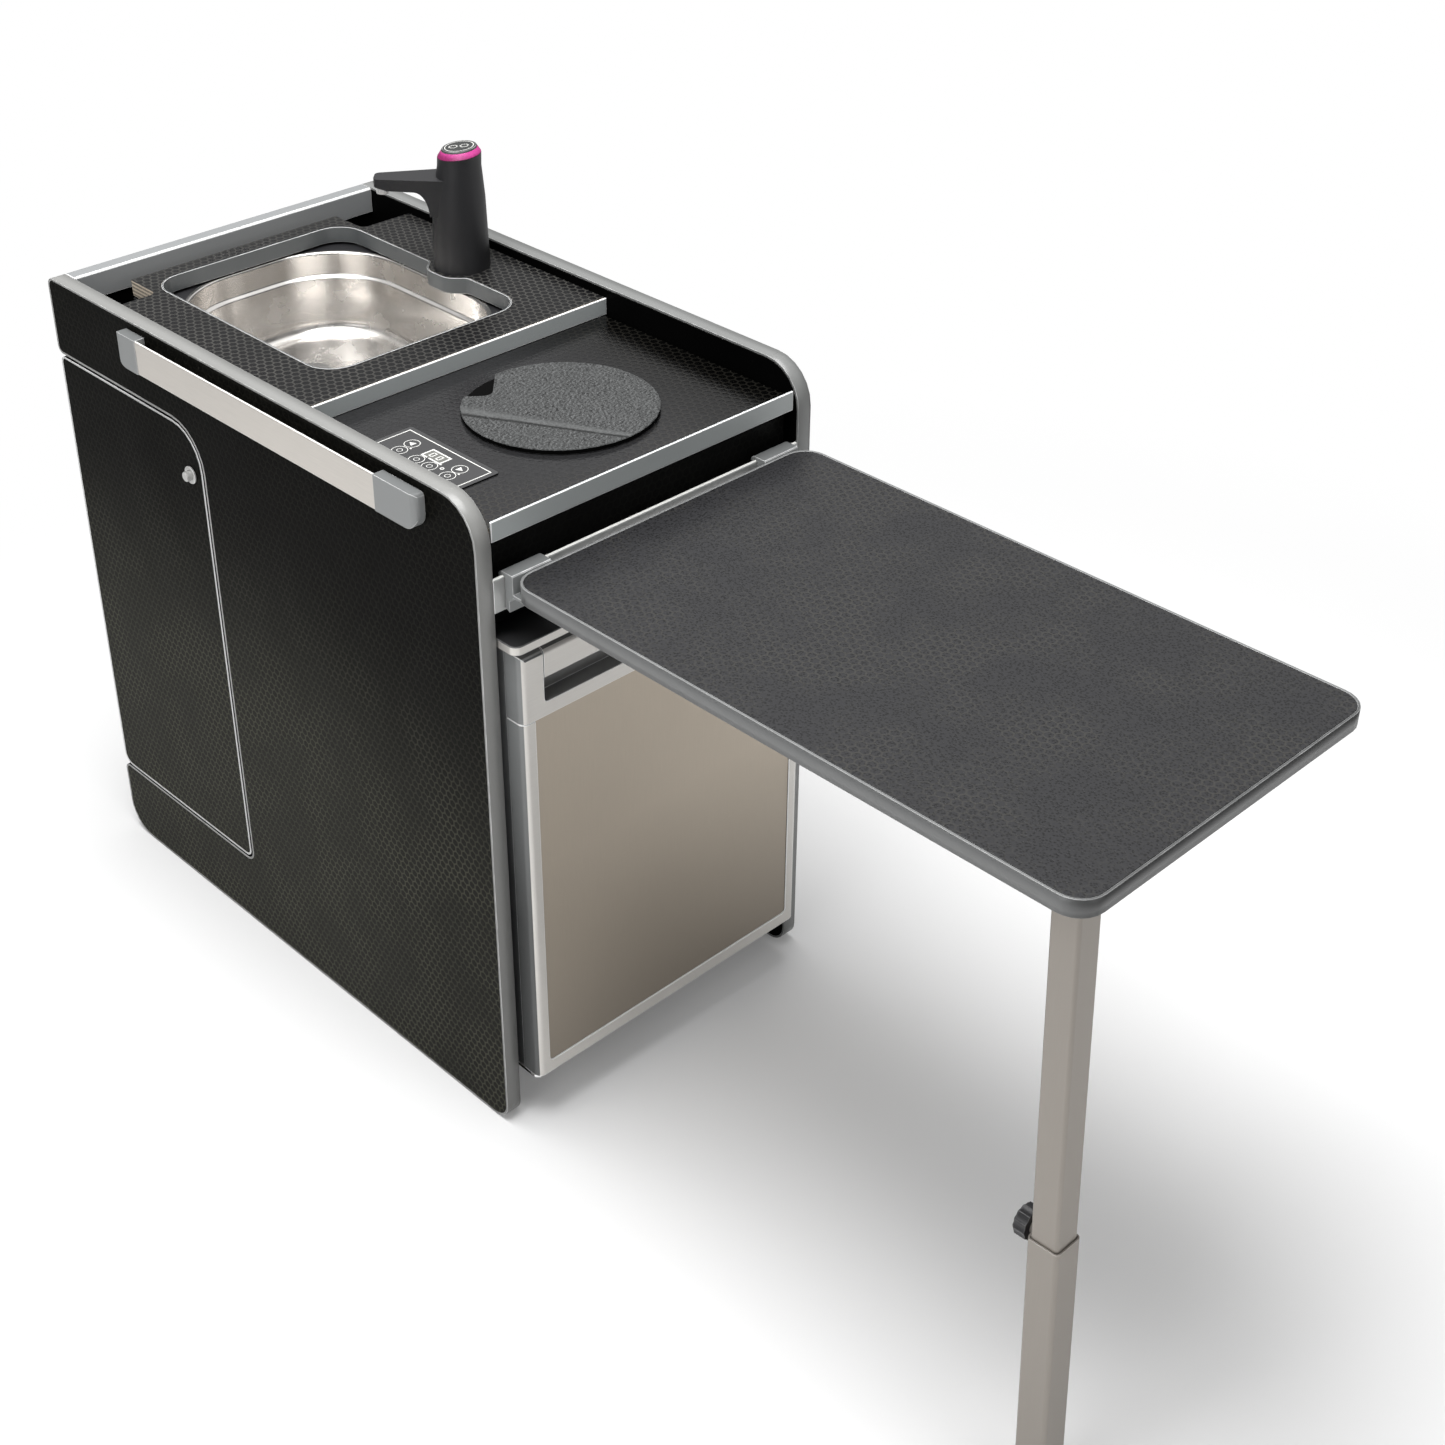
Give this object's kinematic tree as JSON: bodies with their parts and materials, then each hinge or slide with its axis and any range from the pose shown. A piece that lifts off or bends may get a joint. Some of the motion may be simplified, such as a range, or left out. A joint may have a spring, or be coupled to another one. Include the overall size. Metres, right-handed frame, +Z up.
{
  "type": "campervan kitchen pod",
  "caption": "Slim campervan kitchen pod with a sink, tap, covered hob and fridge, a side door to the water cans, hang rails and a hook-on table on a telescopic leg.",
  "frame": {"origin": "centre of the whole object's footprint, on the floor", "axes": "+Z up, the fridge door and the table face -Y, the side with the small door faces -X"},
  "size_m": [0.4466, 1.4102, 0.8615],
  "materials": {
    "near_side_panel": "black laminate with a fine honeycomb relief",
    "near_panel_trim": "satin grey edging",
    "far_side_panel": "black laminate with a fine honeycomb relief",
    "far_panel_trim": "satin grey edging",
    "back_panel": "black laminate with a fine honeycomb relief",
    "back_edge_trim": "satin grey edging",
    "base_panel": "black laminate with a fine honeycomb relief",
    "sink_worktop": "charcoal laminate with a fine honeycomb relief",
    "sink_cutout_trim": "satin grey edging",
    "sink_board": "charcoal laminate with a fine honeycomb relief",
    "sink_pan": "polished stainless steel",
    "sink_drain": "polished stainless steel",
    "drain_hose": "grey hose",
    "step_trim": "satin grey edging",
    "hob_worktop": "charcoal laminate with a fine honeycomb relief",
    "hob_front_trim": "satin grey edging",
    "hob_glass": "black glass ceramic",
    "hob_housing": "matte black",
    "hob_control_panel": "matte black",
    "fascia_panel": "black laminate with a fine honeycomb relief",
    "front_rail": "satin anodised",
    "side_rail": "satin anodised",
    "side_rail_rear_cap": "satin moulded grey",
    "side_rail_front_cap": "satin moulded grey",
    "door_hinge_fixed": "satin anodised",
    "fridge_case": "satin white",
    "fridge_cover": "matte black",
    "fridge_evaporator": "satin anodised",
    "fridge_compressor": "matte black",
    "fridge_hinge_lower": "polished stainless steel",
    "water_hose": "grey hose",
    "fresh_can": "natural white",
    "waste_can": "natural white",
    "side_door": "black laminate with a fine honeycomb relief",
    "side_door_trim": "satin grey edging",
    "door_hinge_leaf": "satin anodised",
    "lock_case": "polished stainless steel",
    "lock_knob": "polished stainless steel",
    "lock_bolt": "polished stainless steel",
    "disc_cover": "grey speckled rubber",
    "tap_body": "matte black",
    "tap_light_ring": "lit magenta diffuser",
    "tap_cap": "matte black",
    "tap_aerator": "polished stainless steel",
    "fridge_door_core": "satin white",
    "fridge_door_frame": "satin silver paint",
    "fridge_door_insert": "satin warm grey",
    "fridge_handle_module": "satin silver paint",
    "fridge_door_seal": "black rubber",
    "fridge_handle_flap": "satin silver paint",
    "table_top": "charcoal laminate with a fine pebbled grain",
    "table_trim": "satin grey edging",
    "table_bracket_near": "satin moulded grey",
    "table_bracket_far": "satin moulded grey",
    "leg_hinge_bracket": "polished stainless steel",
    "leg_tube": "satin anodised",
    "leg_sleeve": "satin anodised",
    "leg_foot": "black rubber",
    "leg_clamp_knob": "matte black"
  },
  "bodies": {
    "pod": {"near_side_panel": "near_side_panel", "near_panel_trim": "near_panel_trim", "far_side_panel": "far_side_panel", "far_panel_trim": "far_panel_trim", "back_panel": "back_panel", "back_edge_trim": "back_edge_trim", "base_panel": "base_panel", "sink_worktop": "sink_worktop", "sink_cutout_trim": "sink_cutout_trim", "sink_board": "sink_board", "sink_pan": "sink_pan", "sink_drain": "sink_drain", "drain_hose": "drain_hose", "step_trim": "step_trim", "hob_worktop": "hob_worktop", "hob_front_trim": "hob_front_trim", "hob_glass": "hob_glass", "hob_housing": "hob_housing", "hob_control_panel": "hob_control_panel", "fascia_panel": "fascia_panel", "front_rail": "front_rail", "side_rail": "side_rail", "side_rail_rear_cap": "side_rail_rear_cap", "side_rail_front_cap": "side_rail_front_cap", "door_hinge_fixed": "door_hinge_fixed", "fridge_case": "fridge_case", "fridge_cover": "fridge_cover", "fridge_evaporator": "fridge_evaporator", "fridge_compressor": "fridge_compressor", "fridge_hinge_lower": "fridge_hinge_lower", "water_hose": "water_hose", "fresh_can": "fresh_can", "waste_can": "waste_can"},
    "side_door": {"side_door": "side_door", "side_door_trim": "side_door_trim", "door_hinge_leaf": "door_hinge_leaf", "lock_case": "lock_case"},
    "lock_knob": {"lock_knob": "lock_knob"},
    "lock_bolt": {"lock_bolt": "lock_bolt"},
    "cover": {"disc_cover": "disc_cover"},
    "tap": {"tap_body": "tap_body", "tap_light_ring": "tap_light_ring", "tap_cap": "tap_cap", "tap_aerator": "tap_aerator"},
    "fridge_door": {"fridge_door_core": "fridge_door_core", "fridge_door_frame": "fridge_door_frame", "fridge_door_insert": "fridge_door_insert", "fridge_handle_module": "fridge_handle_module", "fridge_door_seal": "fridge_door_seal"},
    "fridge_handle": {"fridge_handle_flap": "fridge_handle_flap"},
    "table": {"table_top": "table_top", "table_trim": "table_trim", "table_bracket_near": "table_bracket_near", "table_bracket_far": "table_bracket_far", "leg_hinge_bracket": "leg_hinge_bracket"},
    "leg": {"leg_tube": "leg_tube"},
    "leg_sleeve": {"leg_sleeve": "leg_sleeve", "leg_foot": "leg_foot"},
    "leg_clamp": {"leg_clamp_knob": "leg_clamp_knob"}
  },
  "joints": [
    {"name": "side_door_hinge", "type": "hinge", "parent": "pod", "child": "side_door", "pos_m": [-0.1887, 0.70054, 0.37], "axis": [0, 0, -1], "range_deg": [0, 110]},
    {"name": "lock_knob_push", "type": "slide", "parent": "side_door", "child": "lock_knob", "axis": [1, 0, 0], "range_m": [0, 0.0055]},
    {"name": "lock_bolt_slide", "type": "slide", "parent": "side_door", "child": "lock_bolt", "axis": [0, -1, 0], "range_m": [0, 0.0071]},
    {"name": "cover_lift", "type": "slide", "parent": "pod", "child": "cover", "axis": [0, 0, 1], "range_m": [0, 0.06]},
    {"name": "tap_swivel", "type": "hinge", "parent": "pod", "child": "tap", "pos_m": [0.1513, 0.44214, 0.723], "axis": [0, 0, 1], "range_deg": [-60, 60]},
    {"name": "fridge_door_hinge", "type": "hinge", "parent": "pod", "child": "fridge_door", "pos_m": [-0.1762, -0.03786, 0.06], "axis": [0, 0, -1], "range_deg": [0, 110]},
    {"name": "fridge_handle_pull", "type": "hinge", "parent": "fridge_door", "child": "fridge_handle", "pos_m": [0.0063, -0.03236, 0.5746], "axis": [-1, 0, 0], "range_deg": [0, 12], "stiffness_Nm_per_rad": 1},
    {"name": "table_tilt", "type": "hinge", "parent": "pod", "child": "table", "pos_m": [0.0063, -0.02036, 0.6515], "axis": [-1, 0, 0], "range_deg": [0, 30]},
    {"name": "leg_fold", "type": "hinge", "parent": "table", "child": "leg", "pos_m": [-0.1439, -0.65868, 0.63151], "axis": [0, -0.999, 0.0448], "range_deg": [0, 90]},
    {"name": "leg_extend", "type": "slide", "parent": "leg", "child": "leg_sleeve", "axis": [0, 0.0448, 0.999], "range_m": [0, 0.19]},
    {"name": "leg_clamp_turn", "type": "hinge", "parent": "leg_sleeve", "child": "leg_clamp", "pos_m": [-0.1622, -0.65358, 0.29894], "axis": [0, 0.999, -0.0448], "range_deg": [0, 180]}
  ],
  "couplings": [
    {"joint": "lock_bolt_slide", "follows": "lock_knob_push", "ratio": 1.27}
  ]
}
